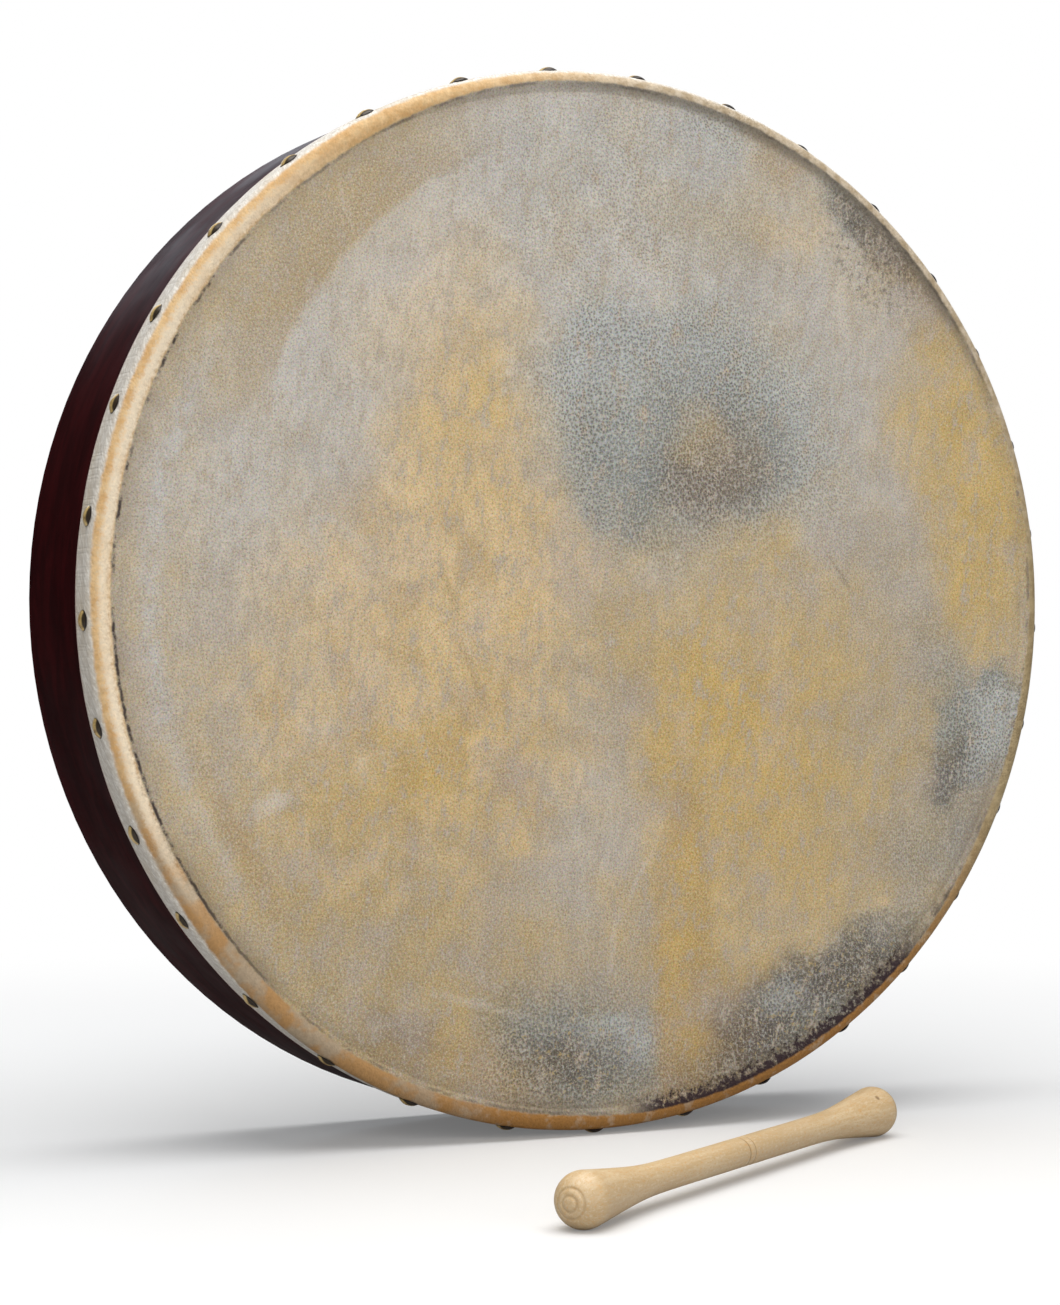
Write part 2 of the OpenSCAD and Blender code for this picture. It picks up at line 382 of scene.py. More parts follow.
def hide_colour(g, flat):
    """The hide's mottled colour, a mask of its coarse-grained stains, and its hair."""
    ragged = g.shifted(flat, 4.0, 0.11, 8.0, 0.68, plane=True)
    crisp = g.shifted(flat, 20.0, 0.016, 5.0, 0.6, plane=True)
    colour, coarse, pale = HIDE, 0.0, 0.0
    for patch, (x, y), (half_x, half_y), turn, strength, soft in PATCHES:
        at = ragged if soft > CRISP_EDGE else crisp
        reach = 1 + soft
        near = g.closeness(at, (x, y), (half_x * reach, half_y * reach), turn)
        fac = g.map(near, 0.0, 2 * soft / reach, 0.0, strength)
        colour = g.mix(fac, colour, patch)
        if patch in (ASH, SLATE, SOOT):
            coarse = g.math("MAXIMUM", coarse, fac)
        elif patch in (GREY, CREAM, STONE):
            pale = g.math("MAXIMUM", pale, fac)

    # Creamy lumps in the warm fields, with tan between them
    lumps = g.noise(g.shifted(flat, 6.0, 0.05, plane=True), 9.0, 2.0, 0.45, plane=True)
    warm = g.map(g.closeness(flat, (-0.34, -0.16), (0.53, 0.51), 28), 0.0, 0.45)
    creamy = g.math("MULTIPLY", warm, g.map(lumps, 0.50, 0.62, 0.0, 0.55))
    colour = g.mix(creamy, colour, tone(208, 182, 138))
    between = g.math("MULTIPLY", warm, g.map(lumps, 0.50, 0.36, 0.0, 0.50))
    colour = g.mix(between, colour, tone(177, 151, 110))

    # Clouds of lightness and of tint, and streaks along the hair
    cloud = g.noise(g.moved(flat, turn=(0, 0, -0.3), size=(1, 1.5, 1)), 13.0, 7.0, 0.68, plane=True)
    hair = g.noise(g.moved(flat, turn=(0, 0, -0.15), size=(1, 2.2, 1)), 40.0, 5.0, 0.74, plane=True)
    tint = g.noise(g.moved(flat, (3.3, 1.7, 0)), 7.0, 8.0, 0.72, plane=True)
    grey_part = g.math("MAXIMUM", g.math("MULTIPLY", coarse, 0.85), g.math("MULTIPLY", pale, 0.7))
    tint_seen = g.math("SUBTRACT", 1.0, grey_part)
    colour = g.scaled(colour, g.math("ADD", 1.0, g.centred(cloud, 0.56)))
    colour = g.scaled(colour, g.math("ADD", 1.0, g.centred(hair, 0.54)))
    golden = g.map(tint, 0.46, 0.80, 0.0, 0.55, kind="LINEAR")
    colour = g.mix(g.math("MULTIPLY", golden, tint_seen), colour, tone(200, 166, 84))
    ashen = g.map(tint, 0.50, 0.20, 0.0, 0.60, kind="LINEAR")
    colour = g.mix(g.math("MULTIPLY", ashen, tint_seen), colour, tone(176, 168, 170))
    return colour, coarse, hair


def goatskin():
    g = Graph("goatskin")
    flat, solid, depth, radius = head_plane(g)
    colour, coarse, hair = hide_colour(g, flat)
    colour = ghost_ring(g, flat, colour)
    colour = scuffs(g, flat, colour, hair)
    colour, pits, specks = hide_grain(g, flat, colour, coarse)
    ragged = g.noise(flat, 42.0, 5.0, 0.7, plane=True)
    inner = g.math("ADD", radius, fold_reach(g, flat))
    colour = crease_shade_and_soil(g, flat, colour, g.math("ADD", inner, g.centred(ragged, 0.007)))
    edge = g.centred(ragged, 0.008)
    colour = fold_tones_and_painted_light(g, flat, colour, g.math("ADD", radius, edge), g.math("ADD", inner, edge))
    colour, on_side, streaks = dry_skirt(g, flat, solid, colour, depth)

    # Relief: pores between the scales of the grain, specks, and the skirt's drag lines
    height = g.math("MULTIPLY", pits, g.math("SUBTRACT", g.math("MULTIPLY", coarse, -0.6), 0.45))
    height = g.math("ADD", height, g.math("MULTIPLY", specks, 0.45))
    normal = g.bump(height, 0.22 * MM, 0.9)
    normal = g.bump(g.math("MULTIPLY", streaks, on_side), 0.22 * MM, 0.6, normal)
    g.set(base_color=colour, roughness=g.map(hair, 0.3, 0.7, 0.5, 0.66, "LINEAR"), normal=normal)
    g.set(specular_ior_level=0.3)
    return g.mat


def ghost_ring(g, flat, colour):
    """A ring left from when the hide was first stretched: browner outside it, paler inside."""
    centred = g.moved(g.shifted(flat, 4.0, 0.010, plane=True), GHOST_RING_AT)
    gap = g.math("SUBTRACT", g.length(centred), GHOST_RING_R)
    seen = g.map(g.closeness(flat, (-0.50, 0.62), (0.44, 0.27), 45), 0.0, 0.6)
    outside = g.math("MULTIPLY", g.map(gap, -0.006, 0.008), g.map(gap, 0.16, 0.02))
    colour = g.mix(g.math("MULTIPLY", g.math("MULTIPLY", outside, seen), 0.55), colour, tone(164, 143, 106))
    inside = g.math("MULTIPLY", g.map(gap, 0.0, -0.012), g.map(gap, -0.14, -0.01))
    faint = g.map(g.noise(flat, 2.6, 2.0, plane=True), 0.42, 0.62, 0.10, 0.35)
    shown = g.math("MULTIPLY", inside, g.math("MAXIMUM", faint, seen))
    colour = g.mix(g.math("MULTIPLY", shown, 0.5), colour, tone(190, 186, 178))

    # and a soft bluish bloom beside the rim on the left
    off_bloom = g.math("ABSOLUTE", g.math("SUBTRACT", g.length(flat), BLOOM_R))
    bloom = g.map(off_bloom, 0.032, 0.004)
    bloom = g.math("MULTIPLY", bloom, facing(g, flat, 176, 10, 34))
    bloom = g.math("MULTIPLY", bloom, g.map(g.noise(flat, 22.0, 5.0, 0.7, plane=True), 0.32, 0.62))
    return g.mix(g.math("MULTIPLY", bloom, 0.55), colour, tone(192, 193, 192))


def scuffs(g, flat, colour, hair):
    wandering = g.shifted(flat, 16.0, 0.010, 4.0, plane=True)
    broken = g.centred(hair, 1.5)
    for mark, strength, (x, y), half_l, half_w, turn in SCUFFS:
        near = g.closeness(wandering, (x, y), (1.5 * half_l, 1.5 * half_w), turn)
        worn = g.math("SUBTRACT", near, broken)
        colour = g.mix(g.map(worn, 0.0, 0.93, 0.0, strength), colour, mark)
    return colour


def hide_grain(g, flat, colour, coarse):
    """Pits of hair along the hair, deeper and darker in the stains, and specks of all tints."""
    wavy = g.shifted(flat, 3.0, 0.03, 2.0, plane=True)
    along_hair = g.moved(wavy, turn=(0, 0, 0.15), size=(1.0, 1.4, 1.0))
    cells = g.cells(along_hair, 185.0, plane=True)
    pits = g.map(cells, 0.44, 0.10)
    ridges = g.map(cells, 0.44, 0.76)
    patchy = g.map(g.noise(flat, 8.0, 4.0, 0.6, plane=True), 0.35, 0.65, 0.6, 1.25, "LINEAR")
    pit_shade = g.math("MULTIPLY", patchy, g.math("ADD", 0.12, g.math("MULTIPLY", coarse, 0.44)))
    colour = g.mix(g.math("MULTIPLY", pits, pit_shade), colour, tone(88, 84, 76))
    ridge_shine = g.math("ADD", 0.12, g.math("MULTIPLY", coarse, 0.14))
    colour = g.mix(g.math("MULTIPLY", ridges, ridge_shine), colour, tone(206, 208, 203))

    specks = g.noise(flat, 280.0, 2.0, 0.8, plane=True)
    motley = g.noise(flat, 230.0, 3.0, 0.85, plane=True, color=True)
    motley = g.mix(1.0, g.mix(1.0, motley, (1.02, 0.97, 1.45), "MULTIPLY"), (0.63, 0.645, 0.425), "ADD")
    colour = g.mix(1.0, colour, motley, "MULTIPLY")
    colour = g.mix(g.map(specks, 0.54, 0.76, 0.0, 0.70), colour, tone(226, 214, 186))
    colour = g.mix(g.map(specks, 0.46, 0.24, 0.0, 0.62), colour, tone(112, 98, 82))
    roots = g.cells(flat, 44.0, plane=True)
    rooted = g.map(g.noise(flat, 5.0, 3.0, plane=True), 0.50, 0.66)
    roots_seen = g.math("MULTIPLY", g.map(roots, 0.09, 0.03), rooted)
    colour = g.mix(g.math("MULTIPLY", roots_seen, 0.5), colour, tone(222, 216, 200))

    # Yellow and chalky crumbs on the darkest stains
    crumbs = g.map(g.noise(g.moved(flat, (5.1, 0.4, 0)), 95.0, 3.0, 0.75, plane=True), 0.56, 0.70)
    dark = g.map(g.closeness(flat, (0.44, -0.80), (0.36, 0.14), 34), 0.0, 0.5)
    dark = g.math("MAXIMUM", dark, g.map(g.closeness(flat, (-0.06, -0.86), (0.21, 0.13)), 0.0, 0.5))
    chalky = g.map(g.noise(flat, 30.0, plane=True), 0.45, 0.55)
    crumb_tone = g.mix(chalky, tone(196, 172, 118), tone(190, 190, 184))
    crumbs_seen = g.math("MULTIPLY", g.math("MULTIPLY", crumbs, dark), 0.7)
    return g.mix(crumbs_seen, colour, crumb_tone), pits, specks


def fold_reach(g, flat):
    """How much further in the fold's own colour reaches on the left, and less on top and below."""
    left = g.math("MULTIPLY", facing(g, flat, 168, 40, 75), 0.0110)
    top = g.math("MULTIPLY", facing(g, flat, 55, 45, 72), -0.0090)
    stained = g.math("MULTIPLY", facing(g, flat, -62, 16, 34), -0.0080)
    return g.math("ADD", left, g.math("ADD", top, stained))


def crease_shade_and_soil(g, flat, colour, edge):
    """The crease inside the fold: a dark line of painted shade and dirt that comes and goes, in a soft
    margin of painted shade and soil.
    """
    patchy = g.noise(g.moved(flat, (7.1, 2.9, 0)), 3.5, 4.0, 0.6, plane=True)
    # A soft darker margin inside the crease, and a darker one on top: painted shade with some soil
    margin = g.math("MULTIPLY", g.map(edge, 0.925, 0.970), g.map(patchy, 0.3, 0.7, 0.15, 0.6))
    colour = g.mix(margin, colour, tone(138, 122, 98))
    dark_top = g.math("MULTIPLY", g.map(edge, 0.950, 0.968), facing(g, flat, 62, 22, 40))
    colour = g.mix(g.math("MULTIPLY", dark_top, 0.65), colour, tone(112, 104, 90))
    # The crease line: painted shade with dirt, broken up, strongest on the left
    line = g.map(g.math("ABSOLUTE", g.math("SUBTRACT", edge, CREASE_LINE_R)), 0.0048, 0.0010)
    broken = g.map(g.noise(flat, 7.0, 6.0, 0.75, plane=True), 0.44, 0.56, 0.0, 0.95)
    broken = g.math("MULTIPLY", broken, g.math("MAXIMUM", facing(g, flat, 180, 25, 60), 0.45))
    colour = g.mix(g.math("MULTIPLY", line, broken), colour, PITCH)

    # A purple-black stain along the lower right, and sooty spots at the upper right
    clots = g.noise(flat, 75.0, 5.0, 0.75, plane=True)
    reach = g.math("ADD", edge, g.centred(clots, 0.10))
    stain = g.math("MULTIPLY", facing(g, flat, -65, 17, 23), g.map(reach, 0.942, 0.966))
    clotted = g.math("MULTIPLY", stain, g.map(clots, 0.25, 0.46, 0.45, 0.98))
    colour = g.mix(clotted, colour, tone(44, 26, 32))
    spotted = g.map(g.closeness(flat, (0.60, 0.68), (0.20, 0.11), -47), 0.0, 0.6)
    return g.mix(g.math("MULTIPLY", g.map(clots, 0.50, 0.66, 0.0, 0.6), spotted), colour, SOOT)


def fold_tones_and_painted_light(g, flat, colour, edge, inner):
    """The fold over the wood, with painted light and shade on its own tones: orange on the left
    with a painted highlight along the crown, paler on top, and darker amber below in painted shade.
    """
    mottle = g.noise(flat, 34.0, 5.0, 0.6, plane=True)
    grime = g.noise(flat, 120.0, 4.0, 0.75, plane=True)
    soft = g.noise(flat, 12.0, 4.0, 0.6, plane=True)
    fold = g.mix(g.map(mottle, 0.35, 0.65), tone(156, 136, 100), tone(178, 158, 120))
    # Paler on top and brighter on the left where light falls, darker amber below: painted light and shade
    upper = g.mix(g.map(mottle, 0.35, 0.65), tone(178, 158, 128), tone(208, 192, 168))
    fold = g.mix(facing(g, flat, 75, 40, 75), fold, upper)
    lower = g.mix(g.map(mottle, 0.52, 0.70), tone(166, 118, 60), tone(180, 150, 118))
    fold = g.mix(facing(g, flat, -85, 30, 62), fold, lower)
    left = g.mix(g.map(mottle, 0.30, 0.70), tone(212, 168, 112), tone(230, 196, 146))
    fold = g.mix(facing(g, flat, 160, 50, 80), fold, left)
    low_left = g.mix(g.map(soft, 0.42, 0.62), tone(182, 140, 90), tone(176, 156, 130))
    fold = g.mix(facing(g, flat, 226, 14, 34), fold, low_left)

    # a painted highlight in cream along the crown, on the left
    wander = g.math("ADD", edge, g.math("ADD", g.centred(soft, 0.008), g.centred(grime, 0.022)))
    crown = g.map(g.math("ABSOLUTE", g.math("SUBTRACT", wander, CROWN_HIGHLIGHT_R)), 0.0175, 0.0030)
    lit_crown_side = g.math("MULTIPLY", facing(g, flat, 170, 26, 50), g.map(soft, 0.25, 0.55, 0.6, 1.0))
    fold = g.mix(g.math("MULTIPLY", crown, lit_crown_side), fold, tone(248, 230, 202))
    fold = g.scaled(fold, g.math("ADD", 1.0, g.centred(grime, 0.55)))
    return g.mix(g.map(inner, FOLD_START_R, FOLD_START_R + 0.0055), colour, fold)


def dry_skirt(g, flat, solid, colour, depth):
    """The skirt on the outside of the shell: grey and dry, with a pinkish painted highlight along the cut.
    """
    low = g.math("MULTIPLY", facing(g, flat, -85, 30, 62), 4.5 * MM / SHELL_R)
    worn = g.centred(g.noise(solid, 40.0, 8.0, 0.75), 0.012)
    ragged = g.math("SUBTRACT", g.math("ADD", depth, worn), low)
    on_side = g.map(ragged, 1.0 * MM / SHELL_R, 2.4 * MM / SHELL_R)
    pulled = g.moved(solid, turn=(0.93, 0, 0), size=(1.0, 5.0, 1.0))
    streaks = g.noise(pulled, 190.0, 4.0, 0.65)
    side = g.mix(g.map(streaks, 0.40, 0.72), tone(214, 206, 194), tone(250, 246, 238))
    side = g.mix(g.map(g.noise(solid, 8.0, 4.0), 0.50, 0.74, 0.0, 0.4), side, tone(204, 186, 154))
    # a pinkish painted highlight along the cut edge
    cut = g.map(depth, (SKIRT_DEPTH - 1.2 * MM) / SHELL_R, (SKIRT_DEPTH - 0.5 * MM) / SHELL_R)
    side = g.mix(cut, side, tone(214, 190, 180))
    return g.mix(on_side, colour, side), on_side, streaks


def hide_inside():
    """The flesh side, seen through the open back."""
    g = Graph("goatskin_flesh_side")
    flat = head_plane(g)[0]
    colour = hide_colour(g, flat)[0]
    colour = g.mix(0.38, colour, (0.52, 0.43, 0.29))
    fibres = g.noise(g.moved(flat, turn=(0, 0, 0.4), size=(1, 0.3, 1)), 60.0, 5.0, 0.7, plane=True)
    colour = g.mix(g.map(fibres, 0.4, 0.7, 0.0, 0.4), colour, (0.62, 0.55, 0.42))
    g.set(base_color=colour, roughness=0.75, normal=g.bump(fibres, 0.4 * MM, 0.6))
    return g.mat


def lacquered_wood(name, along, stain, deep, gloss=0.40):
    """Stained wood under satin lacquer. `along` stretches the grain: the scale of X, Y, Z."""
    g = Graph(name)
    at = g.moved(g.coords, (0, 0, AXIS_Z), size=along)
    grain = g.noise(at, 90.0, 6.0, 0.62, 0.4)
    pores = g.noise(at, 420.0, 3.0, 0.6)
    wear = g.noise(g.coords, 18.0, 4.0, 0.6)
    colour = g.mix(g.map(grain, 0.35, 0.68), deep, stain)
    colour = g.mix(g.map(pores, 0.55, 0.75, 0.0, 0.5), colour, deep)
    height = g.math("ADD", g.math("MULTIPLY", grain, 0.5), g.math("MULTIPLY", pores, 0.25))
    normal = g.bump(height, 0.12 * MM, 0.5)
    normal = g.bump(g.noise(g.coords, 26.0, 1.0), 0.7 * MM, 0.35, normal)
    g.set(base_color=colour, normal=normal, roughness=g.map(wear, 0.3, 0.7, gloss, gloss + 0.14))
    g.set(specular_ior_level=0.006)
    return g.mat


def aged_brass():
    g = Graph("aged_brass")
    tarnish = g.noise(g.coords, 260.0, 5.0, 0.65)
    colour = g.mix(g.map(tarnish, 0.42, 0.70), tone(232, 200, 130), tone(150, 116, 70))
    # Darker toward the skin: painted shade under the rim of the head, with tarnish
    low = g.add("ShaderNodeAttribute", attribute_name="lowness").outputs["Fac"]
    colour = g.mix(g.map(low, 0.86, 0.99, 0.0, 0.95), colour, tone(36, 28, 22))
    # The front of each head darker: a painted dark reflection
    front_dark_reflection = g.add("ShaderNodeAttribute", attribute_name="frontness").outputs["Fac"]
    colour = g.mix(g.map(front_dark_reflection, 0.36, 0.60, 0.0, 0.95), colour, tone(30, 22, 24))
    g.set(base_color=colour, metallic=0.3, roughness=g.map(tarnish, 0.3, 0.7, 0.30, 0.50))
    g.set(normal=g.bump(g.noise(g.coords, 500.0, 2.0), 0.2 * MM, 0.4))
    return g.mat


def turned_beater_wood(length):
    """Pale beech. The piece lies along its own X axis."""
    g = Graph("beater_wood")
    grain = g.noise(g.moved(g.coords, size=(14.0, 1.0, 1.0)), 500.0, 5.0, 0.6, 0.5)
    rays = g.cells(g.moved(g.coords, size=(2.6, 1.0, 1.0)), 1100.0)
    clouds = g.noise(g.moved(g.coords, size=(4.0, 1.0, 1.0)), 40.0, 4.0)
    colour = g.mix(g.map(grain, 0.36, 0.66), (0.67, 0.475, 0.255), (0.75, 0.575, 0.350))
    colour = g.mix(g.map(clouds, 0.40, 0.70, 0.0, 0.45), colour, (0.58, 0.42, 0.24))
    colour = g.mix(g.map(rays, 0.36, 0.12, 0.0, 0.50), colour, (0.60, 0.36, 0.13))
    flecks = g.noise(g.moved(g.coords, size=(2.6, 1.0, 1.0)), 1000.0, 3.0, 0.75)
    colour = g.mix(g.map(flecks, 0.53, 0.68, 0.0, 0.55), colour, (0.70, 0.38, 0.13))
    colour = g.mix(g.map(flecks, 0.46, 0.32, 0.0, 0.32), colour, (0.88, 0.76, 0.62))
    knot = g.length(g.moved(g.shifted(g.coords, 300.0, 0.0006), (length - 19 * MM, -6.3 * MM, 7.4 * MM)))
    colour = g.mix(g.map(knot, 1.5 * MM, 0.6 * MM, 0.0, 0.75), colour, (0.24, 0.13, 0.06))
    place = g.add("ShaderNodeSeparateXYZ", {0: g.coords})
    radius = g.length(g.moved(g.coords, size=(1000, 1, 1)))
    past_middle = g.math("ABSOLUTE", g.math("SUBTRACT", place.outputs["X"], length / 2))
    on_end = g.map(past_middle, length / 2 - 2.4 * MM, length / 2 - 1.8 * MM)
    for ring in (END_RING_R, END_GROOVE_R):
        off_ring = g.math("ABSOLUTE", g.math("SUBTRACT", radius, ring))
        line = g.map(off_ring, 0.6 * MM, 0.2 * MM, 0.0, 0.22)
        colour = g.mix(g.math("MULTIPLY", line, on_end), colour, tone(150, 112, 66))
    off_band = g.math("ABSOLUTE", g.math("SUBTRACT", past_middle, BAND_HALF_W))
    band = g.map(off_band, 0.6 * MM, 0.2 * MM, 0.0, 0.55)
    colour = g.mix(band, colour, tone(150, 112, 66))
    height = g.math("ADD", g.math("MULTIPLY", grain, 0.3), g.math("MULTIPLY", rays, 0.3))
    g.set(base_color=colour, roughness=g.map(grain, 0.3, 0.7, 0.34, 0.46))
    g.set(normal=g.bump(height, 0.1 * MM, 0.5))
    return g.mat


# ---- skin ----------------------------------------------------------------------------

AROUND = 960


def skin_outline():
    """The skin's section as (radius, depth, where): out on the grain side, back on the flesh side."""
    outer_r = EDGE_R + SKIN_T
    centre_r, centre_d = SHELL_R - EDGE_R, SKIN_T + EDGE_R
    crease_r = centre_r - math.sqrt(outer_r**2 - (outer_r - HEAD_DROP) ** 2)
    start = math.pi - math.asin((outer_r - 0.6 * HEAD_DROP) / outer_r)
    across, over, down, under, back = 38, 16, 14, 6, 14
    outside = [((crease_r - 2.0 * MM) * i / across, HEAD_DROP, "head") for i in range(1, across + 1)]
    outside.append((crease_r - 1.5 * MM, HEAD_DROP + 0.20 * MM, "crease"))
    outside.append((crease_r - 1.1 * MM, HEAD_DROP + 0.04 * MM, "crease"))
    for i in range(1, over + 1):
        a = start * (1 - i / over)
        outside.append((centre_r + outer_r * math.cos(a), centre_d - outer_r * math.sin(a), "fold"))
    for i in range(1, down + 1):
        outside.append((SHELL_R + SKIN_T, centre_d + (SKIRT_DEPTH - centre_d) * i / down, "skirt"))
    inside = [(SHELL_R + 0.1 * MM, SKIRT_DEPTH, "cut"), (SHELL_R + 0.05 * MM, centre_d, "hidden")]
    for i in range(1, under + 1):
        a = math.radians(126) * i / under
        inside.append((centre_r + EDGE_R * math.cos(a), centre_d - EDGE_R * math.sin(a), "hidden"))
    inside += [(crease_r * i / back, HEAD_DROP + SKIN_T, "flesh") for i in range(back - 1, 0, -1)]
    return outside, inside


def place_on_drum(radius, angle, depth):
    return Vector((radius * math.cos(angle), CROWN_Y + depth, AXIS_Z + radius * math.sin(angle)))


def beside_tack(angle, depth, tacks):
    """Distance from the nearest tack, and the direction there, round the skirt."""
    near_angle, near_depth = min(tacks, key=lambda t: abs(math.remainder(angle - t[0], math.tau)))
    along = math.remainder(angle - near_angle, math.tau) * SHELL_R
    return math.hypot(along, depth - near_depth), math.atan2(depth - near_depth, along)


def pulled_skirt(angle, depth, tacks):
    """How far the skirt stands off: slanting drag lines between tacks, and puckers about each."""
    slant = angle + (depth - SKIRT_DEPTH) / SHELL_R
    drag = rough((math.cos(slant), math.sin(slant), depth * 12), 34, 6)
    drag *= smooth(-0.2, 0.5, rough((math.cos(angle), math.sin(angle), 0), 5, 7))
    far, way = beside_tack(angle, depth, tacks)
    pucker = math.cos(5 * way + angle * 40) * math.exp(-(((far - 7 * MM) / (3 * MM)) ** 2))
    dimple = math.exp(-((far / (5 * MM)) ** 2))
    return 0.12 * MM * drag + 0.06 * MM * pucker - 0.2 * MM * dimple


def skin_point(radius, depth, where, angle, tacks):
    """A point of the skin's section, with the unevenness of a real hide."""
    flat = (radius * math.cos(angle), 0, radius * math.sin(angle))
    if where == "head":
        fade = 1 - smooth(0.88, 0.965, radius / SHELL_R)
        depth += fade * (0.35 * MM * rough(flat, 14, 1) + 0.15 * MM * rough(flat, 60, 2))
    elif where == "crease":
        depth += 0.12 * MM * rough(flat, 50, 12)
    elif where == "fold":
        radius += 0.08 * MM * rough(flat, 70, 3)
        depth += 0.10 * MM * rough(flat, 40, 4)
    elif where in ("skirt", "cut"):
        down = smooth(6 * MM, SKIRT_DEPTH, depth)
        if where == "skirt":
            radius += pulled_skirt(angle, depth, tacks)
        depth += down * (0.6 * MM * rough(flat, 30, 5) + 0.2 * MM * rough(flat, 150, 13))
    return place_on_drum(radius, angle, depth)


def build_skin(tacks):
    outside, inside = skin_outline()
    rings = [[place_on_drum(0, 0, HEAD_DROP)]]
    for radius, depth, where in outside + inside:
        ring = [skin_point(radius, depth, where, math.tau * i / AROUND, tacks) for i in range(AROUND)]
        rings.append(ring)
    rings.append([place_on_drum(0, 0, HEAD_DROP + SKIN_T)])
    mesh = mesh_from_rings("goatskin_head", rings)
    skin = new_object("goatskin_head", mesh)
    mesh.materials.append(goatskin())
    mesh.materials.append(hide_inside())
    first_inner = 1 + AROUND * len(outside)
    for p in mesh.polygons:
        if min(p.vertices) >= first_inner:
            p.material_index = 1
    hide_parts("skin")
    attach(skin, "drum")


# ---- tacks ---------------------------------------------------------------------------


def tack_places():
    """The angle and depth of each tack on the drum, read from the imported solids."""
    source = bmesh.new()
    source.from_mesh(nodes["skin_tacks"].data)
    bmesh.ops.remove_doubles(source, verts=source.verts, dist=1e-6)
    left, places = set(source.verts), []
    while left:
        island, queue = [], [left.pop()]
        while queue:
            v = queue.pop()
            island.append(v.co.copy())
            for e in v.link_edges:
                other = e.other_vert(v)
                if other in left:
                    left.remove(other)
                    queue.append(other)
        low = Vector(min(p[i] for p in island) for i in range(3))
        high = Vector(max(p[i] for p in island) for i in range(3))
        mid = (low + high) / 2
        places.append((math.atan2(mid.z - AXIS_Z, mid.x), mid.y - CROWN_Y))
    source.free()
    return sorted(places)


def tack_outline():
    """A tack's section as (radius, height above the skin), from the head's top to the point."""
    head_r, head_h, shank_r, shank_l = TACK_HEAD_R, 1.8 * MM, TACK_SHANK_R, 6.2 * MM
    dome_r = (head_r**2 + head_h**2) / (2 * head_h)
    outline, steps = [], 11
    for i in range(1, steps + 1):
        r = head_r * math.sin(math.pi / 2 * i / steps)
        outline.append((r, head_h - dome_r + math.sqrt(dome_r**2 - r**2)))
    outline += [(head_r * 0.98, -0.12 * MM), (head_r * 0.90, -0.15 * MM), (shank_r, -0.12 * MM)]
    return outline + [(shank_r, 2 * MM - shank_l), (0.2 * MM, -shank_l)]


def build_tacks(places):
    """Pressed brass heads, each dented a little differently, on tapered shanks."""
    outline, sides = tack_outline(), 32
    top = outline[0][1]
    whole = bmesh.new()
    for number, (angle, depth) in enumerate(places):
        rings = [[Vector((0, 0, top))]]
        for r, h in outline:
            ring = []
            for k in range(sides):
                t = math.tau * k / sides
                p = Vector((r * math.cos(t), r * math.sin(t), h))
                if r > TACK_SHANK_R and h > 0:
                    p.z += 0.16 * MM * rough((p.x, p.y, 0.01 * number), 380, 8) * smooth(0, top, h)
                ring.append(p)
            rings.append(ring)
        rings.append([Vector((0, 0, outline[-1][1] - 0.1 * MM))])
        piece = mesh_from_rings("tack", rings)
        lean = Matrix.Rotation(0.08 * rough((number, 0, 0), 0.7, 10), 4, "X")
        lean @= Matrix.Rotation(0.08 * rough((number, 0, 0), 0.7, 11), 4, "Y")
        outward = Vector((math.cos(angle), 0, math.sin(angle)))
        turn = outward.to_track_quat("Z", "Y").to_matrix().to_4x4()
        seat = place_on_drum(SHELL_R + SKIN_T, angle, depth)
        piece.transform(Matrix.Translation(seat) @ turn @ lean)
        whole.from_mesh(piece)
        bpy.data.meshes.remove(piece)
    mesh = bpy.data.meshes.new("brass_tacks")
    whole.to_mesh(mesh)
    whole.free()
    # lowness and frontness feed the brass's painted shade near the skin and painted dark reflection in
    # front
    for name in ("lowness", "frontness"):
        mesh.attributes.new(name, "FLOAT", "POINT")
    low, front = mesh.attributes["lowness"], mesh.attributes["frontness"]
    row_depth = sum(depth for angle, depth in places) / len(places)
    for v, lowness, frontness in zip(mesh.vertices, low.data, front.data):
        height = math.hypot(v.co.x, v.co.z - AXIS_Z) - SHELL_R - SKIN_T
        lowness.value = 1 - smooth(0, top, height)
        frontness.value = (row_depth + CROWN_Y - v.co.y) / TACK_HEAD_R
    tacks = new_object("brass_tacks", mesh)
    mesh.materials.append(aged_brass())
    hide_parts("skin_tacks")
    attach(tacks, "drum")


# ---- beater --------------------------------------------------------------------------


def beater_outline(length):
    """Half of the beater's section as (distance from its left end, radius), end to middle."""
    lean = math.asin((KNOB_R - GRIP_R) / TAPER_L)
    points = []
    knob_steps = 44
    for i in range(1, knob_steps + 1):
        a = (math.pi / 2 + lean) * (i / knob_steps) ** 1.2
        points.append((KNOB_R * (1 - math.cos(a)), KNOB_R * math.sin(a)))
    join_s, join_r = points[-1]
    soft = 0.8 * MM
    steps = 150
    for i in range(1, steps):
        s = join_s + (length / 2 - join_s) * i / steps
        taper = join_r + (GRIP_R - join_r) * (s - join_s) / TAPER_L
        points.append((s, GRIP_R + soft * math.log1p(math.exp((taper - GRIP_R) / soft))))
    return points


def turned_marks(s, r, length):
    """The section with its turned marks: a band at the middle, and rings round each end."""
    for side in (-1, 1):
        band = (s - length / 2 + side * BAND_HALF_W) / (0.55 * MM)
        r -= 0.42 * MM * math.exp(-(band**2))
    edge = min(s, length - s)
    if edge < 3 * MM:
        inward = 1 if s < length / 2 else -1
        ring = 0.42 * MM * math.exp(-(((r - END_RING_R) / (0.45 * MM)) ** 2))
        groove = 0.42 * MM * math.exp(-(((r - END_GROOVE_R) / (0.6 * MM)) ** 2))
        s += inward * (ring + groove)
    return s, r


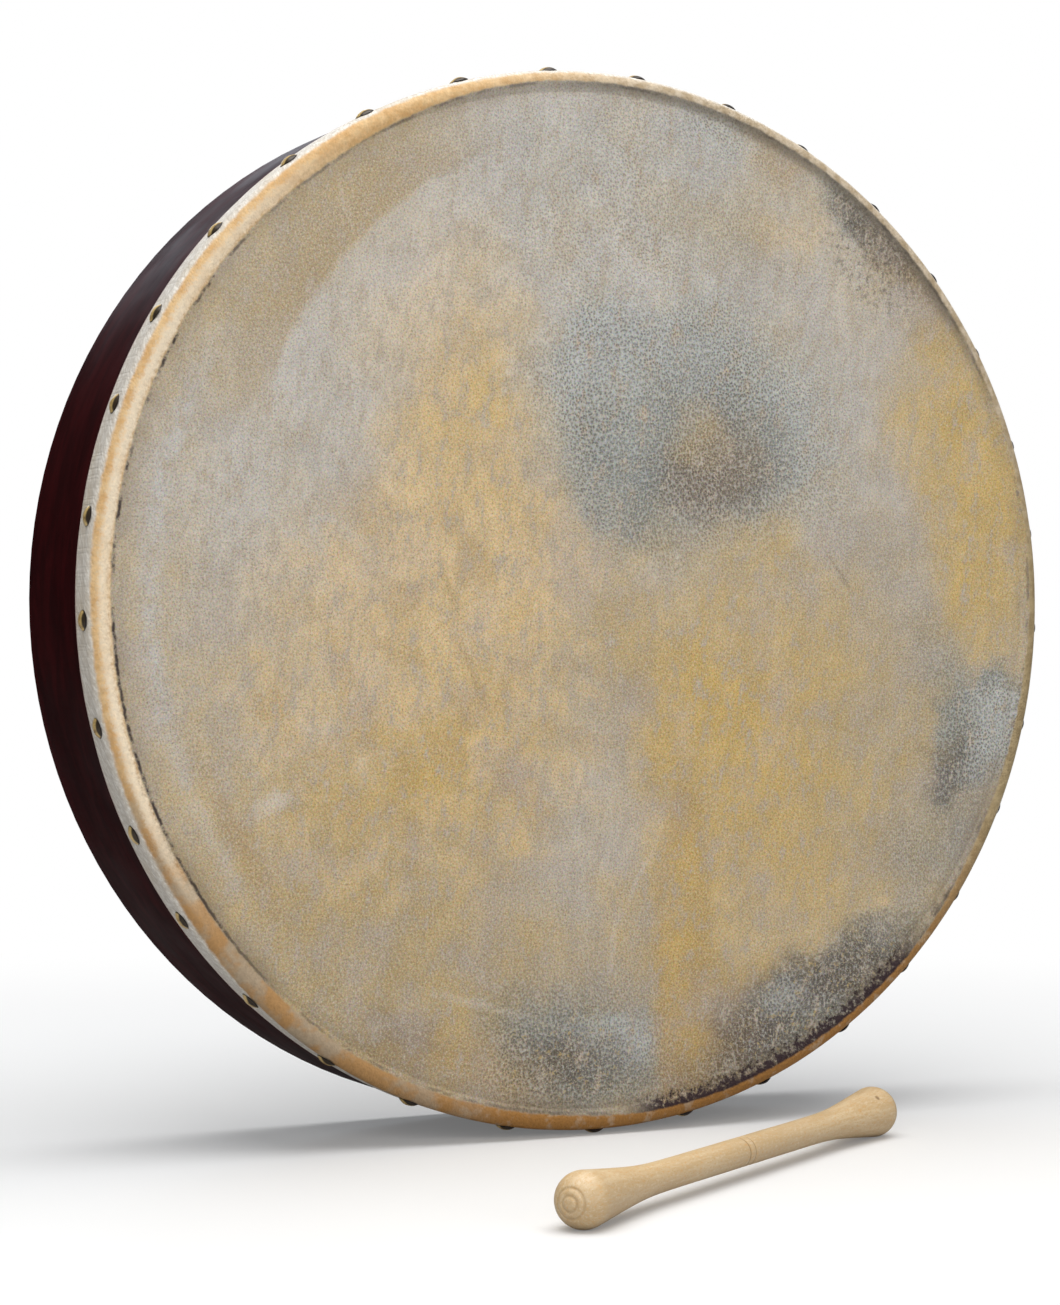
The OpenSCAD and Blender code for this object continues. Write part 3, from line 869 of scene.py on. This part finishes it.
def build_beater():
    start = Vector((beater_low.x + KNOB_R, beater_low.y + KNOB_R, beater_low.z + KNOB_R))
    end = Vector((beater_high.x - KNOB_R, beater_high.y - KNOB_R, beater_low.z + KNOB_R))
    along = (end - start).normalized()
    length = (end - start).length + 2 * KNOB_R
    half = beater_outline(length)
    whole = half + [(length / 2, GRIP_R)] + [(length - s, r) for s, r in reversed(half)]
    sides = 72
    rings = [[Vector((0.05 * MM, 0, 0))]]
    for plain_s, plain_r in whole:
        s, r = turned_marks(plain_s, plain_r, length)
        ring = []
        for k in range(sides):
            t = math.tau * k / sides
            p = Vector((s, r * math.cos(t), r * math.sin(t)))
            p.yz *= 1 + 0.006 * rough(p, 60, 21)
            ring.append(p)
        rings.append(ring)
    rings.append([Vector((length - 0.05 * MM, 0, 0))])
    mesh = mesh_from_rings("turned_beater", rings)
    beater = new_object("turned_beater", mesh)
    turn = along.to_track_quat("X", "Z").to_matrix().to_4x4()
    beater.matrix_world = Matrix.Translation(start - along * KNOB_R) @ turn
    mesh.materials.append(turned_beater_wood(length))
    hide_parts("beater")
    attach(beater, "beater")


# ---- shell and crossbars, whose CAD shapes stay --------------------------------------


def dress(node, material):
    for slot in nodes[node].material_slots:
        slot.material = material


def dress_wood():
    burgundy, deep = (0.042, 0.0048, 0.0058), (0.021, 0.0032, 0.0038)
    shell = lacquered_wood("burgundy_lacquer", (3, 1, 3), burgundy, deep)
    dress("shell_outer_ply", shell)
    dress("shell_inner_ply", shell)
    dress("shell_core_ply", lacquered_wood("ply_edge", (3, 0.2, 3), (0.06, 0.018, 0.012), deep, 0.5))
    bar_tone, bar_deep = (0.050, 0.011, 0.008), (0.018, 0.005, 0.004)
    dress("crossbar_upright", lacquered_wood("upright_bar", (1, 1, 9), bar_tone, bar_deep, 0.42))
    dress("crossbar_level", lacquered_wood("level_bar", (9, 1, 1), bar_tone, bar_deep, 0.42))


# ---- camera, floor and light ---------------------------------------------------------

BACKDROP = (1.0, 1.0, 1.0)


def set_camera():
    """At the height of the head's middle, turned 27 degrees to the drum's left."""
    head = Vector((0, CROWN_Y, AXIS_Z))
    turn, rise, far = math.radians(-26.9), math.radians(-1.4), 5.6 * SHELL_R
    back = Vector((math.sin(turn) * math.cos(rise), -math.cos(turn) * math.cos(rise), math.sin(rise)))
    aim = head + SHELL_R * Vector((-0.148, 0, -0.100))
    cam = bpy.data.cameras.new("camera")
    cam.sensor_fit = "HORIZONTAL"
    cam.sensor_width = 36
    cam.lens = 100.4
    cam.clip_start, cam.clip_end = 0.02, 60
    obj = new_object("camera", cam)
    obj.location = head + far * back
    obj.rotation_euler = (aim - obj.location).to_track_quat("-Z", "Y").to_euler()
    bpy.context.scene.camera = obj


def set_stage():
    """A pale floor that fades into the backdrop's tone with distance."""
    mesh = bpy.data.meshes.new("floor")
    floor_r, sides = 12, 96
    turns = [math.tau * i / sides for i in range(sides)]
    corners = [Vector((floor_r * math.cos(t), floor_r * math.sin(t), FLOOR_Z)) for t in turns]
    mesh.from_pydata(corners, [], [list(range(sides))])
    floor = new_object("floor", mesh)
    g = Graph("pale_floor")
    seen = g.add("ShaderNodeLightPath").outputs["Is Camera Ray"]
    g.set(base_color=g.mix(seen, (0.45, 0.45, 0.45), (0.90, 0.90, 0.90)), roughness=0.6)
    g.set(specular_ior_level=0.1)
    glow = g.add("ShaderNodeEmission", {"Color": BACKDROP, "Strength": 1.0})
    fade = g.math("MULTIPLY", g.map(g.length(g.coords), 0.26, 0.85, 0.15, 1.0), seen)
    both = g.add("ShaderNodeMixShader", {0: fade, 1: g.shader.outputs[0], 2: glow.outputs[0]})
    out = next(n for n in g.tree.nodes if n.type == "OUTPUT_MATERIAL")
    g.tree.links.new(both.outputs[0], out.inputs["Surface"])
    mesh.materials.append(g.mat)


def set_world():
    """Plain pale backdrop to the camera, and a dim soft room for fill light."""
    world = bpy.data.worlds.new("studio")
    world.use_nodes = True
    bpy.context.scene.world = world
    tree = world.node_tree
    tree.nodes.clear()
    room = tree.nodes.new("ShaderNodeBackground")
    room.inputs["Color"].default_value = (1.0, 0.99, 0.97, 1)
    room.inputs["Strength"].default_value = 0.08
    plain = tree.nodes.new("ShaderNodeBackground")
    plain.inputs["Color"].default_value = (*BACKDROP, 1)
    path = tree.nodes.new("ShaderNodeLightPath")
    both = tree.nodes.new("ShaderNodeMixShader")
    tree.links.new(path.outputs["Is Camera Ray"], both.inputs[0])
    tree.links.new(room.outputs[0], both.inputs[1])
    tree.links.new(plain.outputs[0], both.inputs[2])
    out = tree.nodes.new("ShaderNodeOutputWorld")
    tree.links.new(both.outputs[0], out.inputs["Surface"])


def soft_light(name, at, size, watts, tint=(1, 1, 1), aim=AXIS):
    lamp = bpy.data.lights.new(name, "AREA")
    lamp.shape = "RECTANGLE"
    lamp.size, lamp.size_y = size
    lamp.energy = watts
    lamp.color = tint
    obj = new_object(name, lamp)
    obj.visible_camera = False
    obj.location = at
    obj.rotation_euler = (Vector(aim) - Vector(at)).to_track_quat("-Z", "Y").to_euler()


def set_lights():
    soft_light("overhead", (0, -0.25, 2.3), (2.8, 2.4), 68, aim=(0, -0.1, 0))
    soft_light("key_beside_camera", (-1.2, -1.9, 1.0), (1.2, 1.2), 16, (1.0, 0.985, 0.96))
    soft_light("front_fill", (0.8, -2.1, 0.6), (1.4, 1.2), 9.5)
    soft_light("low_behind", (0.1, 1.7, 1.05), (0.9, 0.4), 4, (0.80, 0.90, 1.0))
    bpy.context.scene.view_settings.view_transform = "Standard"


# ---- build ---------------------------------------------------------------------------

set_camera()
tack_list = tack_places()
build_skin(tack_list)
build_tacks(tack_list)
build_beater()
dress_wood()
set_stage()
set_world()
set_lights()
